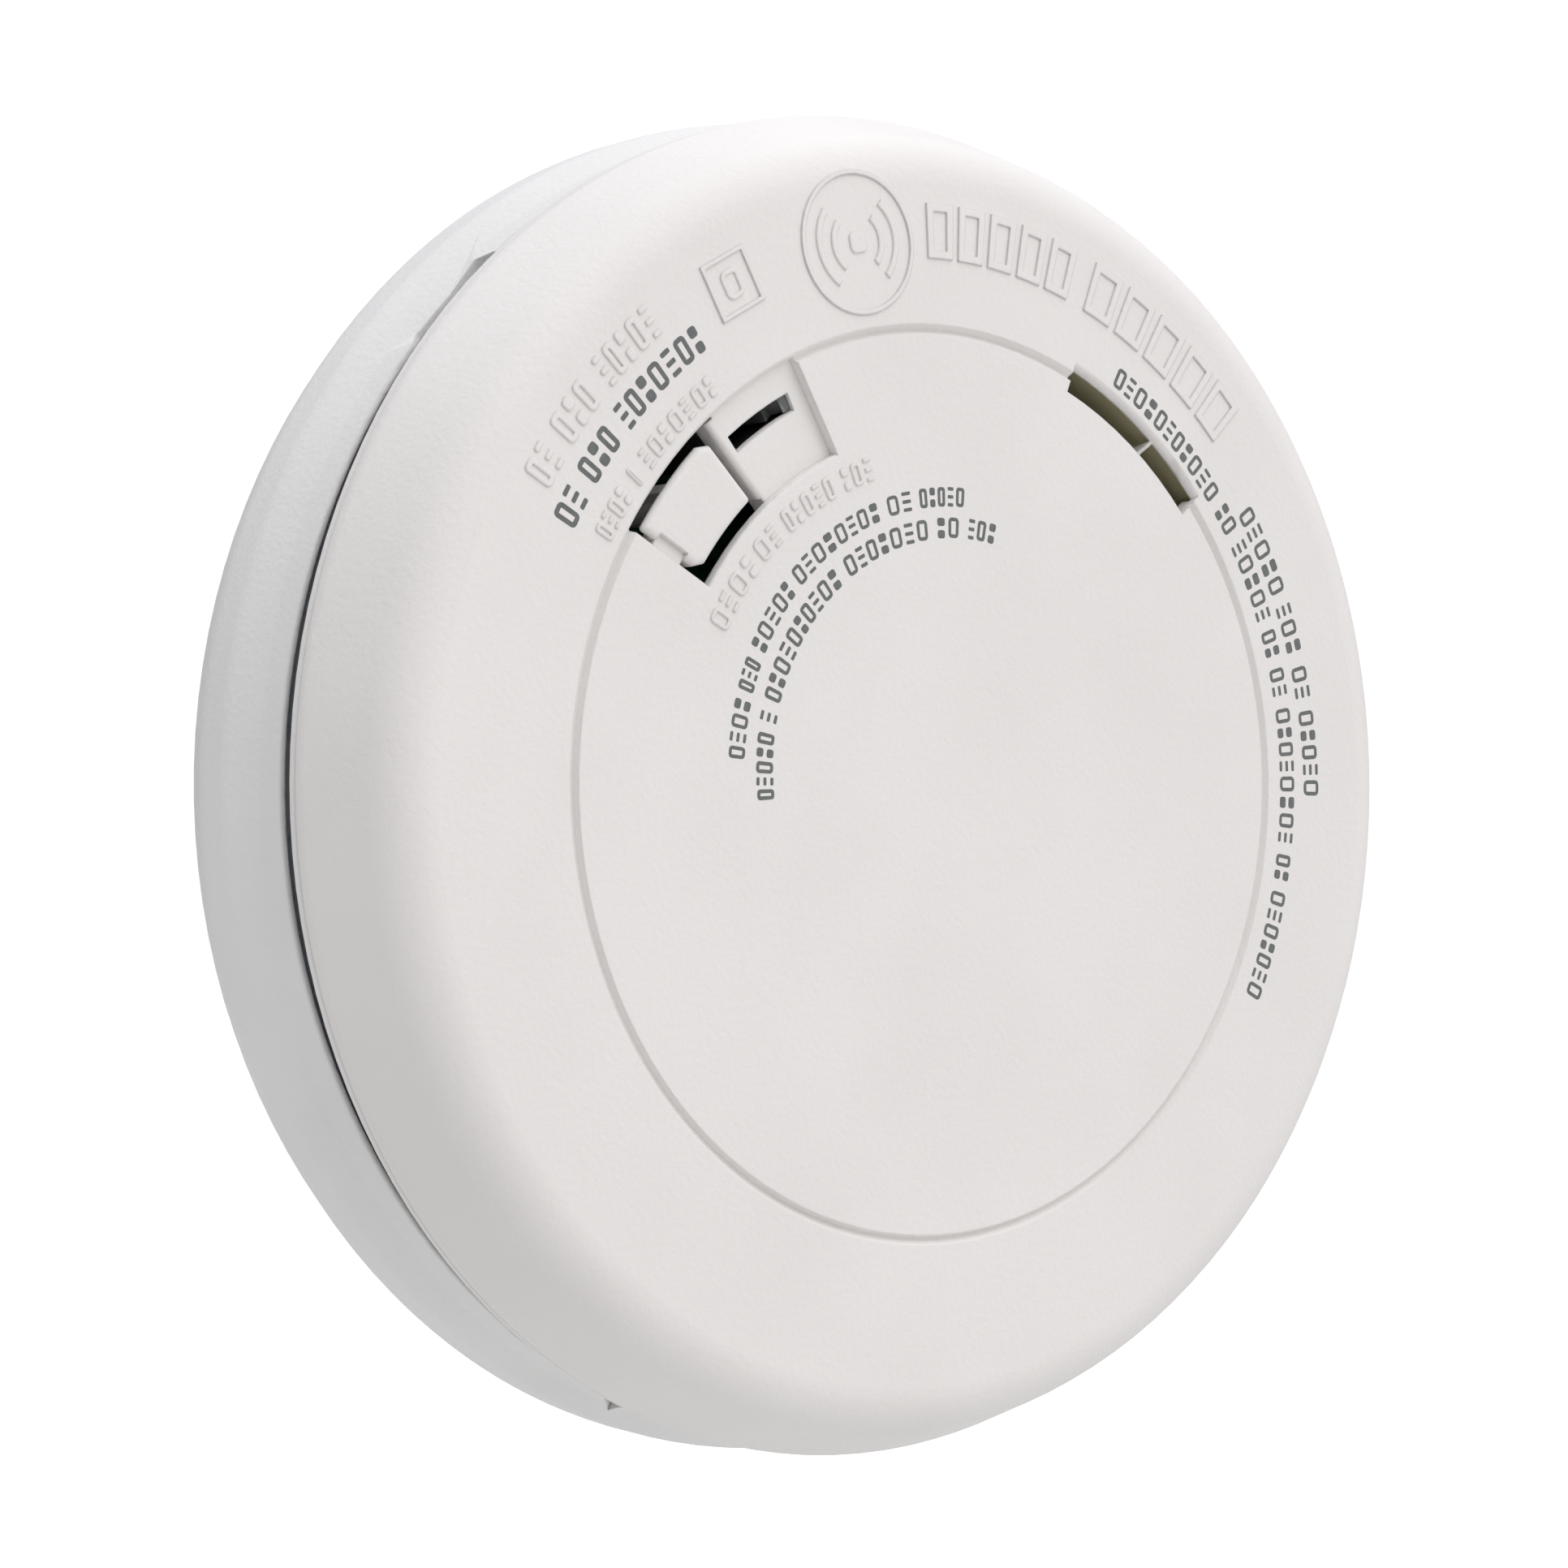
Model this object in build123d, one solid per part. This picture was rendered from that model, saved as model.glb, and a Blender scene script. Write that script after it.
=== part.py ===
from build123d import *
import os
from math import cos, radians, sin

# A round smoke and carbon monoxide alarm with a sealed lithium cell, on its twist-off mounting bracket.
#
# Millimetres. Every piece is drawn in a working frame whose +Z is the alarm's own axis: Z = 0 is the wall,
# Z grows towards the room, +X is to the right and +Y is up for a person facing the alarm.
# Angles are counter-clockwise from +X, as that person sees them.
# On export the whole assembly is turned so that the wall is the plane Y = 0, the face looks along -Y and
# +Z is up. The origin is the centre of the bracket's back face.
to_wall = Rot(90, 0, 0)

# ---- driving dimensions -------------------------------------------------------------------------
outer_radius = 71.0        # bracket skirt, the widest part
depth = 32.2               # wall to the top of the raised marks
mark_height = 0.2          # raised marks on the face
wall = 2.0                 # moulded wall thickness
twist_range = 10.0         # degrees from locked to free
running = 0.06             # radial clearance of a pin that turns in a bore

# front cover
face_z = depth - mark_height
skin_z = face_z - wall     # underside of the face
shoulder_r = 65.3          # where the flat face and the side band would meet
band_low_r, band_low_z = 69.8, 21.5
rim_z = 19.2               # free edge of the cover
shoulder_round = 5.7
rim_line_z = 20.35         # fine line just above the free edge
groove_in, groove_r, groove_out = 46.05, 46.45, 47.05      # ring groove: steep inside, sloped outside
groove_depth = 0.6

# control pocket in the face: a test button and a status light panel side by side.
# Its side walls lean a little from radial, so each has one angle at the inner radius and one at the outer.
pocket_in, pocket_out = 36.1, 46.73
pocket_right, pocket_split, pocket_left = (114.2, 115.5), (130.3, 131.1), (148.3, 148.9)
outer_lip, inner_lip = 0.7, 1.2              # thickness of the skin left round the button's opening
panel_z = face_z - 1.05
panel_lip = 0.75                             # thickness of the panel round the light slot
light_slot = (41.8, 43.7, 117.7, 129.35)     # inner radius, outer radius, first angle, last angle

# sound vent along the groove
vent_in, vent_out, vent_lip = 44.76, 47.2, 48.15
vent_right, vent_left = 41.3, 68.3
vent_edge_z = 31.15                          # underside of the vent's thin outer lip
duct_in, duct_out, duct_top = 47.9, 49.1, 31.05

# test button
button_in, button_out = 37.58, 45.55
button_right, button_left = (132.5, 132.9), (147.2, 147.95)
button_top = face_z - 0.05
button_thick = 1.9
button_edge = 0.8                            # thickness of the key's thin outer edge
hinge_angle = 151.0
hinge_z = 30.0
hinge_pin_r = 0.75
tongue_in, tongue_out, tongue_top = 39.8, 43.5, 31.4
press_angle, press_r = 139.5, 41.5           # where the button's post pushes the switch

# bracket
plate = 2.0
plate_hole_r = 33.0
lip_r, lip_z = 68.9, 16.1
crease_r, crease_z = 69.25, 12.9             # shallow crease under the lip
back_r = 69.3                                # edge of the back face
bulge_low, bulge_high = 4.4, 9.0             # heights between which the skirt is widest
skirt_in = 67.4
lip_thick, lip_chamfer = 0.55, 3.0           # the lip's top edge is thin: its inner side slopes away
hook_angles = (90.0, 210.0, 330.0)
notch_angles = (130.8, 10.8)                 # where each pry notch in the lip starts
notch_drop, notch_span = 1.9, 11.4
flat_low_r, flat_low_z, flat_top_r = 70.12, 11.0, 67.3       # the flat behind a pry notch
flat_end_r, flat_right_end, flat_left_end = 69.5, 0.4, 1.6   # where the flat runs out, in degrees past the notch
flat_right_slope, flat_left_slope = 12.5, 16.0               # how gently it runs out at each end, in degrees
release_angle, release_run, release_drop = 242.0, 4.8, 4.4   # release notch: one long slope and a steep end
screw_spacing = 86.0
screw_slot_r, screw_slot_length = 2.3, 9.0

# rear housing: a stepped pan
pan_z = 4.6
floor = 1.8
pan_r = 57.5
shelf_z, shelf = 8.3, 1.6
pan_wall_r, pan_wall_z = 66.0, 16.4
tab_low, tab_high = 4.6, 6.0                 # bayonet tabs
hook_low, hook_high = 6.3, 7.7               # bracket ledges above the tabs

# circuit board and what stands on it
board_z, board_thick, board_r = 10.4, 1.6, 54.0
board_top = board_z + board_thick
chamber_x, chamber_y, chamber_r = -12.0, -24.0, 24.0
chamber_height = 14.0
horn_x, horn_y, horn_r = 15.0, 22.0, 17.5
horn_top = 28.4
sensor_x, sensor_y, sensor_r = -43.0, 6.0, 9.5
cell_r, cell_length = 8.5, 34.5
cell_angle, cell_centre_r = -35.0, 44.0
cell_z = pan_z + floor + 0.4 + cell_r
switch_r, switch_angle = 22.0, 250.0         # power switch, worked by the bracket
switch_travel = switch_r * radians(twist_range)
board_screws = ((-48.0, -16.0), (3.0, 48.5), (20.0, -47.0))


# ---- helpers ------------------------------------------------------------------------------------
def at(radius, angle, z=0.0):
    """Place something at a radius and an angle, turned so that its own X points outwards."""
    return Rot(0, 0, angle) * Pos(radius, 0, z)


def disc(radius, low, high, x=0.0, y=0.0):
    return Pos(x, y, (low + high) / 2) * Cylinder(radius, high - low)


def block(low, high):
    """A box from its lowest to its highest corner."""
    size = [b - a for a, b in zip(low, high)]
    centre = [(a + b) / 2 for a, b in zip(low, high)]
    return Pos(*centre) * Box(*size)


def turned(*points, start=0.0, sweep=360.0):
    """A solid of revolution about the axis, from a closed outline of (radius, height) points."""
    outline = Plane.XZ * make_face(Polyline(*points, close=True))
    return Rot(0, 0, start) * revolve(outline, Axis.Z, sweep)


def sector(inner, outer, first, last, low, high):
    """Part of a ring between two radii, two angles and two heights."""
    corners = ((inner, low), (outer, low), (outer, high), (inner, high))
    return turned(*corners, start=first, sweep=last - first)


def tube(outer, inner, low, high, x=0.0, y=0.0):
    return disc(outer, low, high, x, y) - disc(inner, low - 1, high + 1, x, y)


def edges_at(shape, radius, z, tolerance=0.05):
    """The full circular edges of a turned shape with this radius and height."""
    def matches(edge):
        if edge.geom_type != GeomType.CIRCLE:
            return False
        return abs(edge.radius - radius) < tolerance and abs(edge.arc_center.Z - z) < tolerance
    return [edge for edge in shape.edges() if matches(edge)]


def upright_edges(shape):
    return shape.edges().filter_by(Axis.Z)


def polar(radius, angle, z=0.0):
    return Vector(radius * cos(radians(angle)), radius * sin(radians(angle)), z)


def edge_near(shape, radius, angle, z):
    """The edge that passes closest to a point."""
    spot = polar(radius, angle, z)
    return min(shape.edges(), key=lambda edge: edge.distance_to(spot))


def arc(radius, first, last):
    return ThreePointArc(polar(radius, first), polar(radius, (first + last) / 2), polar(radius, last))


def patch(inner, outer, right, left, low, high):
    """Like a sector, but its two sides lean: right and left each give an angle at both radii."""
    outline = make_face([
        Line(polar(inner, right[0]), polar(outer, right[1])), arc(outer, right[1], left[1]),
        Line(polar(outer, left[1]), polar(inner, left[0])), arc(inner, left[0], right[0]),
    ])
    return Pos(0, 0, low) * extrude(outline, high - low)


def group(pieces):
    """Several loose solids in one node."""
    return Compound(children=[solid for piece in pieces for solid in piece.solids()])


# ---- bracket ------------------------------------------------------------------------------------
def pry_notch(angle):
    """A stretch where the lip sits lower, with rounded slanted ends."""
    half = radians(notch_span / 2) * lip_r
    low = lip_z - notch_drop
    outline = Polyline((-half, lip_z + 1.0), (-half, lip_z), (1.4 - half, low), (half - 1.9, low),
                       (half, lip_z), (half, lip_z + 1.0), close=True)
    side = extrude(make_face(Plane.YZ * outline), 6)
    side = fillet(edges_at_height(side, low), 0.9)
    return at(skirt_in - 1.5, angle + notch_span / 2) * side


def release_notch():
    """A single deeper notch for a blade: it slopes down from its first corner and ends in a steep wall."""
    steep = 0.4
    outline = Polyline((0, lip_z + 1.0), (0, lip_z), (release_run, lip_z - release_drop),
                       (release_run + steep, lip_z), (release_run + steep, lip_z + 1.0), close=True)
    return at(skirt_in - 1.5, release_angle) * extrude(make_face(Plane.YZ * outline), 6)


def edges_at_height(shape, z):
    """The edges that lie along X at this height."""
    return [edge for edge in shape.edges().filter_by(Axis.X) if abs(edge.center().Z - z) < 0.01]


def notch_flat(angle):
    """The flat behind a pry notch, from under the crease up to the lowered lip; it runs out at both ends."""
    flat = turned((flat_low_r, flat_low_z), (flat_top_r, lip_z), (flat_top_r, lip_z + 1), (73, lip_z + 1),
                  (73, flat_low_z), start=angle - 4.0, sweep=notch_span + 8.0)
    keep = Box(60, 30, 40)
    left_end = at(flat_end_r, angle + notch_span + flat_left_end) * Rot(0, 0, 90 - flat_left_slope)
    right_end = at(flat_end_r, angle - flat_right_end) * Rot(0, 0, flat_right_slope - 90)
    return flat - left_end * Pos(0, 15, 10) * keep - right_end * Pos(0, -15, 10) * keep


def hook(angle):
    """One bayonet hook: a web, a ledge over the housing's tab, and an end stop."""
    web = sector(61.6, 63.4, angle - 5, angle + 4, plate - 0.5, hook_high)
    ledge = sector(58.6, 63.4, angle - 5, angle + 4, hook_low, hook_high)
    stop = sector(58.6, 63.4, angle - 6.4, angle - 4.9, plate - 0.5, hook_high)
    return web + ledge + stop


def screw_slot(angle):
    half = screw_slot_length / 2 - screw_slot_r
    slot = SlotCenterToCenter(2 * half, 2 * screw_slot_r)
    return at(screw_spacing / 2, angle) * extrude(slot, plate + 1, both=True)


def pin_window(angle):
    """A window that stores one break-off locking pin, held by two thin gates."""
    window = block((-3.0, -8.0, -1), (3.0, 8.0, plate + 1))
    gates = block((-3.2, -0.4, 0.6), (-1.0, 0.4, 1.4)) + block((1.0, -0.4, 0.6), (3.2, 0.4, 1.4))
    return at(48.0, angle) * window, at(48.0, angle) * gates


pin_angles = (45.0, 225.0)


def mounting_bracket():
    skirt_outline = (
        (back_r, 0), (outer_radius, bulge_low), (outer_radius, bulge_high), (crease_r, crease_z),
        (lip_r, lip_z), (lip_r - lip_thick, lip_z), (skirt_in, lip_z - lip_chamfer), (skirt_in, plate),
        (plate_hole_r, plate), (plate_hole_r, 0),
    )
    body = turned(*skirt_outline)
    body = fillet(edges_at(body, outer_radius, bulge_low), 4.0)
    body = fillet(edges_at(body, outer_radius, bulge_high), 2.5)
    body = fillet(edges_at(body, crease_r, crease_z), 0.9)
    body = fillet(edges_at(body, lip_r, lip_z), 0.3)
    body -= [notch_flat(angle) for angle in notch_angles]
    body -= [pry_notch(angle) for angle in notch_angles]
    body -= release_notch()
    body += [hook(angle) for angle in hook_angles]
    # A stiffening collar round the opening and radial ribs out to the skirt.
    body += tube(plate_hole_r + 1.6, plate_hole_r, plate - 0.5, plate + 1.0)
    for angle in (30, 60, 120, 150, 240, 300):
        body += at(51.0, angle, plate + 0.4) * Box(32.5, 1.4, 1.4)
    body -= [screw_slot(angle) for angle in (0, 180)]
    for angle in pin_angles:
        window, gates = pin_window(angle)
        body = body - window + gates
    # The finger that works the alarm's power switch: an arm from the ring and a fin on its end.
    arm = at(0, switch_angle) * block((switch_r - 3.0, -3.0, 0.4), (plate_hole_r + 1, 3.0, plate))
    fin = at(0, switch_angle) * block((switch_r - 1.0, -0.5, 1.0), (switch_r + 1.0, 0.5, 4.1))
    return body + arm + fin


def locking_pins():
    """Two spare locking pins, still in their windows in the bracket."""
    shank = block((-1.0, -6.5, 0.2), (1.0, 5.0, 1.8))
    head = block((-2.2, 5.0, 0.2), (2.2, 6.8, 1.8))
    pin = chamfer((shank + head).edges().filter_by_position(Axis.Y, -6.6, -6.4), 0.4)
    return group([at(48.0, angle) * pin for angle in pin_angles])


# ---- rear housing -------------------------------------------------------------------------------
snap_angles = (60.0, 180.0, 300.0)
post_angles = [15.0 + 30.0 * i for i in range(12)]
cover_rib_angles = [45.0 * i + 7.0 for i in range(8)]


def back_housing():
    outline = (
        (0, pan_z), (pan_r, pan_z), (pan_r, shelf_z), (pan_wall_r, shelf_z), (pan_wall_r, pan_wall_z),
        (pan_wall_r - 1.6, pan_wall_z), (pan_wall_r - 1.6, shelf_z + shelf),
        (pan_r - 1.6, shelf_z + shelf), (pan_r - 1.6, pan_z + floor), (0, pan_z + floor),
    )
    body = turned(*outline)
    body = fillet(edges_at(body, pan_r, pan_z) + edges_at(body, pan_wall_r, shelf_z), 0.8)
    body += [sector(pan_r - 0.5, 61.0, a - 4.6, a + 3.6, tab_low, tab_high) for a in hook_angles]
    # Windows for the cover's snap arms.
    body -= [sector(64.2, 66.5, a - 4.6, a + 4.6, 11.0, 13.6) for a in snap_angles]
    # Posts that hold the insect screen in a ring.
    body += [sector(59.2, 60.8, a - 1.2, a + 1.2, shelf_z + 1, skin_z - 0.4) for a in post_angles]
    # Board bosses with pilot holes.
    for x, y in board_screws:
        body += disc(3.0, pan_z + floor - 0.5, board_z, x, y)
        body -= disc(1.25, pan_z + floor - 0.6, board_z + 1, x, y)
    # Four walls round the cell, rounded on the inside to its shape.
    cradle = block((-11.0, -20.2, pan_z + 1), (11.0, 20.2, cell_z))
    cradle -= block((-9.4, -19.0, pan_z), (9.4, 19.0, cell_z + 1))
    cradle -= block((-12, 11.5, board_z - 2.4), (12, 18.9, cell_z + 1))
    cradle -= block((-12, -18.9, board_z - 2.4), (12, -11.5, cell_z + 1))
    body += (cell_place() * cradle) & disc(pan_r - 0.5, pan_z, face_z)
    # Slot for the power switch's knob.
    knob_path = block((-2.2, -switch_travel - 2.3, pan_z - 1), (2.2, 2.3, pan_z + floor + 1))
    body -= at(switch_r, switch_angle) * knob_path
    # Recess for the rating label.
    return body - label_shape(pan_z - 1.0, pan_z + 0.2, 0.3)


def label_shape(low, high, margin=0.0):
    outline = RectangleRounded(34 + margin * 2, 17 + margin * 2, 2.0)
    return Pos(0, 14.0, low) * extrude(outline, high - low)


def rating_label():
    return label_shape(pan_z, pan_z + 0.15)


def insect_screen():
    """A thin band with tall narrow openings, outside the housing's posts."""
    low, high = shelf_z + shelf + 0.05, skin_z - 0.5
    band = tube(61.35, 61.0, low, high)
    opening = sector(60.5, 62.0, 0.7, 4.3, low + 1.5, high - 1.5)
    return band - [Rot(0, 0, 5.0 * i) * opening for i in range(72)]


# ---- front cover --------------------------------------------------------------------------------
band_slope = (band_low_r - shoulder_r) / (face_z - band_low_z)


def cover_shell():
    lean = (1 + band_slope ** 2) ** 0.5
    inner_low_r = band_low_r - wall * 0.95
    inner_shoulder = shoulder_r + band_slope * wall - wall * lean
    outside = turned((0, rim_z), (band_low_r, rim_z), (band_low_r, band_low_z),
                     (shoulder_r, face_z), (0, face_z))
    outside = fillet(edges_at(outside, shoulder_r, face_z), shoulder_round)
    outside = fillet(edges_at(outside, band_low_r, band_low_z), 1.2)
    inside = turned((0, rim_z - 1), (inner_low_r, rim_z - 1), (inner_low_r, band_low_z - 0.8),
                    (inner_shoulder, skin_z), (0, skin_z))
    inside = fillet(edges_at(inside, inner_shoulder, skin_z), shoulder_round - wall)
    shell = outside - inside
    return fillet(edges_at(shell, band_low_r, rim_z) + edges_at(shell, inner_low_r, rim_z), 0.4)


def ring_groove():
    return turned((groove_in, face_z + 0.001), (groove_out, face_z + 0.001),
                  (groove_r + 0.1, face_z - groove_depth), (groove_r - 0.1, face_z - groove_depth))


def rim_line():
    return turned((band_low_r - 0.16, rim_line_z), (band_low_r + 0.2, rim_line_z + 0.5),
                  (band_low_r + 0.2, rim_line_z - 0.3))


def snap_arm(angle):
    """A springy arm with a barb that hooks into the housing's window."""
    arm = sector(62.4, 64.0, angle - 4, angle + 4, 11.2, skin_z + 0.5)
    barb = turned((63.9, 11.4), (64.4, 11.4), (65.4, 13.0), (65.4, 13.3), (63.9, 13.3),
                  start=angle - 4, sweep=8)
    return arm + barb


def vent_cut():
    """The vent's opening, the rounded thin lip on its rim side, and room for the sound duct behind it."""
    slope = Plane.XZ * make_face([
        Polyline((vent_lip, face_z + 1), (vent_in, face_z + 1), (vent_in, 27.0), (vent_out + 0.3, 27.0),
                 (vent_out + 0.3, vent_edge_z)),
        ThreePointArc((vent_out + 0.3, vent_edge_z), (vent_out + 0.5, vent_edge_z + 0.5), (vent_lip, face_z)),
        Line((vent_lip, face_z), (vent_lip, face_z + 1)),
    ])
    opening = Rot(0, 0, vent_right) * revolve(slope, Axis.Z, vent_left - vent_right)
    room = sector(vent_out, duct_out + 0.2, vent_right - 1.7, vent_left + 1.7, 27.0, vent_edge_z)
    return [opening, room]


def light_cut():
    """The status light's slot, with room for the black chimney under the panel's thin skin."""
    inner, outer, first, last = light_slot
    slot = turned((inner, panel_z + 0.05), (inner + 0.15, panel_z - panel_lip), (inner + 0.15, 27.0),
                  (outer, 27.0), (outer, panel_z + 0.05), start=first, sweep=last - first)
    room = sector(inner - 0.7, outer + 0.7, first - 1.0, last + 0.6, 27.0, panel_z - panel_lip + 0.02)
    return [slot, room]


def button_undercut():
    """Thins the skin at the inner and outer sides of the button's opening."""
    first, last = pocket_split[0] - 0.4, pocket_left[1] + 0.4
    inner = sector(pocket_in - 1.2, pocket_in + 0.5, first, last, 27.0, face_z - inner_lip)
    outer = sector(pocket_out - 0.5, pocket_out + 1.2, first, last, 27.0, face_z - outer_lip)
    return [inner, outer]


def hollow_tile(first, last):
    """One blank raised tile: a low frame."""
    stroke, side = 0.8, 0.85
    outside = sector(53.8, 59.4, first, last, face_z - 0.1, depth)
    return outside - sector(53.8 + stroke, 59.4 - stroke, first + side, last - side, face_z - 1, depth + 1)


def raised_marks():
    """Blank raised tiles in two groups of five, a round badge and a square one."""
    starts = [(89.6 - 4.3 * i, 3.5) for i in range(5)] + [(65.4 - 5.2 * i, 4.2) for i in range(5)]
    tiles = [hollow_tile(first, first + width) for first, width in starts]
    badge = at(55.7, 102.6) * (disc(7.3, face_z - 0.1, depth) - disc(6.8, face_z - 1, depth + 1))
    square = at(56.1, 119.9) * (Box(5.9, 5.9, 0.6) - Box(5.0, 5.0, 1))
    return tiles + [badge, Pos(0, 0, depth - 0.3) * square]


def hinge_frame():
    """Own X along the button's hinge axis, pointing outwards; own -Y towards the button."""
    return Rot(0, 0, hinge_angle) * Pos(0, 0, hinge_z)


def front_cover():
    body = cover_shell()
    # Thicker skin behind the pocket.
    body += sector(pocket_in - 1.6, pocket_out + 1.6, pocket_right[0] - 2, pocket_left[0] + 0.1,
                   28.6, skin_z + 0.5)
    body = body - ring_groove() - rim_line()
    body -= patch(pocket_in, pocket_out, pocket_right, pocket_left, panel_z, face_z + 1)
    body -= patch(pocket_in, pocket_out, pocket_split, pocket_left, 20.0, face_z + 1)
    body -= light_cut() + vent_cut() + button_undercut()
    # Soft edges where the mould has them.
    body = fillet(edge_near(body, 41.0, sum(pocket_split) / 2, panel_z), 0.6)
    body = fillet(edge_near(body, pocket_in, 125.0, face_z), 0.3)
    body += raised_marks()
    # A small web across the vent, low on its inner side.
    web = Plane.XZ * make_face(Polyline((43.9, 28.8), (46.8, 28.8), (47.4, 30.6), (47.75, 31.4), (47.2, 31.1),
                                        (46.2, 30.4), (45.0, 30.0), (43.9, 30.1), close=True))
    body += Rot(0, 0, 51.2) * revolve(web, Axis.Z, 0.55)
    # Hinge: relief under the skin, and two ears with a bore each.
    frame = hinge_frame()
    body -= frame * block((38.2, -2.4, -3), (45.1, 1.4, 0.9))
    ears = block((38.3, -1.0, -1.6), (39.4, 1.6, 1.0)) + block((43.9, -1.0, -1.6), (45.0, 1.6, 1.0))
    body += frame * ears
    body -= frame * (Pos(41.65, 0, 0) * Rot(0, 90, 0) * Cylinder(hinge_pin_r + running, 9.0))
    # Snap arms, and ribs that seat the cover on the housing's wall.
    body += [snap_arm(angle) for angle in snap_angles]
    body += [sector(64.8, 67.0, a - 0.5, a + 0.5, pan_wall_z + 0.05, 24.0) for a in cover_rib_angles]
    return body


# ---- test button --------------------------------------------------------------------------------
def key_outline():
    """The key's outline: arcs on two sides, and two opposite corners cut off."""
    right_top, right_low = polar(button_out - 0.85, button_right[1]), polar(button_in, button_right[0])
    left_top, left_low = polar(button_out, button_left[1]), polar(button_in + 1.0, button_left[0])
    return make_face([
        Line(right_low, right_top), Line(right_top, polar(button_out, button_right[1] + 1.7)),
        arc(button_out, button_right[1] + 1.7, button_left[1]), Line(left_top, left_low),
        Line(left_low, polar(button_in, button_left[0] - 1.6)),
        arc(button_in, button_left[0] - 1.6, button_right[0]),
    ])


def test_button():
    """A key plate with a tongue and hinge pin on one side, and a post that reaches down to the switch."""
    low = button_top - button_thick
    cap = Pos(0, 0, low) * extrude(key_outline(), button_thick)
    cap = fillet(upright_edges(cap), 0.35)
    cap = fillet(edge_near(cap, button_out, 140.0, button_top), 0.72)
    cap -= sector(button_out - 1.4, button_out + 1, 130.0, 150.0, low - 1, button_top - button_edge)
    frame = hinge_frame()
    rise = tongue_top - hinge_z
    tongue = frame * block((tongue_in, -3.9, -0.55), (tongue_out, 0.2, 0.6))
    tongue += frame * block((tongue_in, -3.9, 0.5), (tongue_out, -1.86, rise))
    step = frame * block((tongue_in, -3.2, rise), (tongue_out, 1.0, rise + 2.0))
    pin = frame * (Pos(41.65, 0, 0) * Rot(0, 90, 0) * Cylinder(hinge_pin_r, 6.6))
    foot_z = board_top + 3.8
    post = at(press_r, press_angle) * disc(1.5, foot_z + 1.5, low + 0.5)
    tip = at(press_r, press_angle, foot_z + 1.5) * Sphere(1.5)
    rib = at(press_r, press_angle) * block((-2.6, -0.6, low - 6.0), (2.6, 0.6, low + 0.5))
    return (cap - step) + tongue + pin + post + tip + rib


# ---- status light -------------------------------------------------------------------------------
def light_shroud():
    """A black chimney that keeps the status light from leaking sideways."""
    inner, outer, first, last = light_slot
    shell = sector(inner - 0.9, outer + 0.9, first - 1.1, last + 1.1, board_top + 0.05, 28.5)
    chimney = sector(inner - 0.6, outer + 0.6, first - 0.85, last + 0.45, 28.4, panel_z - panel_lip - 0.05)
    return shell + chimney - sector(inner - 0.1, outer + 0.1, first - 0.1, last + 0.1, board_top - 1, panel_z)


def light_pipe():
    """A clear column above the status light, with a slanted top."""
    inner, outer, first, last = light_slot
    column = sector(inner + 0.25, outer - 0.05, first + 0.2, first + 3.9, board_top + 0.9, 30.6)
    slant = at(inner + 1.0, first + 4.2, 30.9) * Rot(34, 0, 28) * Box(9, 4.0, 1.6)
    return column - slant


def status_leds():
    inner, outer, first, last = light_slot
    middle = (inner + outer) / 2
    led = block((-0.5, -0.9, board_top), (0.5, 0.9, board_top + 0.7))
    return group([at(middle, first + step) * led for step in (1.9, 5.6, 9.3)])


# ---- smoke chamber ------------------------------------------------------------------------------
chamber_low = board_top + 0.1
chamber_high = chamber_low + chamber_height
emitter_angle, receiver_angle = 20.0, 150.0
optic_z = chamber_low + 6.0
leg_spacing = (-0.8, 0.8)


def chamber_place():
    return Pos(chamber_x, chamber_y, 0)


def bent_vane(angle):
    """One of the bent vanes that let air in and keep light out."""
    outer_leg = Pos(21.0, 0, 0) * Rot(0, 0, 35) * block((-2.2, -0.4, chamber_low + 1.5),
                                                        (2.2, 0.4, chamber_high - 1.6))
    inner_leg = Pos(17.9, 0.35, 0) * Rot(0, 0, -30) * block((-2.0, -0.4, chamber_low + 1.5),
                                                           (2.0, 0.4, chamber_high - 1.6))
    return Rot(0, 0, angle) * (outer_leg + inner_leg)


def optic_holder(angle):
    """A sleeve that aims the emitter or the receiver at the middle of the chamber."""
    sleeve = Pos(13.6, 0, optic_z) * (Rot(0, 90, 0) * (Cylinder(2.6, 7.2) - Cylinder(1.65, 9.0)))
    web = block((11.0, -1.0, chamber_low + 1), (17.0, 1.0, optic_z - 2.0))
    return Rot(0, 0, angle) * (sleeve + web)


def chamber_base():
    base = disc(chamber_r - 0.6, chamber_low, chamber_low + 1.8)
    clear = (emitter_angle, receiver_angle)
    angles = [18.0 * i for i in range(20)]
    free = [a for a in angles if all(abs((a - c + 180) % 360 - 180) > 17 for c in clear)]
    base += [bent_vane(angle) for angle in free]
    base += [optic_holder(angle) for angle in clear]
    for angle in clear:
        base -= [Rot(0, 0, angle) * block((17.2, y - 0.4, chamber_low - 1), (18.1, y + 0.4, chamber_low + 3))
                 for y in leg_spacing]
    return chamber_place() * base


def chamber_cap():
    lid = disc(chamber_r - 0.6, chamber_high - 1.5, chamber_high)
    lid = fillet(edges_at(lid, chamber_r - 0.6, chamber_high), 0.7)
    cone = Pos(0, 0, chamber_high - 2.7) * Cone(2.0, 6.0, 2.6)
    return chamber_place() * (lid + cone)


def chamber_screen():
    band = tube(chamber_r, chamber_r - 0.3, chamber_low, chamber_high)
    opening = sector(chamber_r - 1, chamber_r + 1, 1.5, 8.5, chamber_low + 2.4, chamber_high - 2.4)
    return chamber_place() * (band - [Rot(0, 0, 10.0 * i) * opening for i in range(36)])


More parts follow.
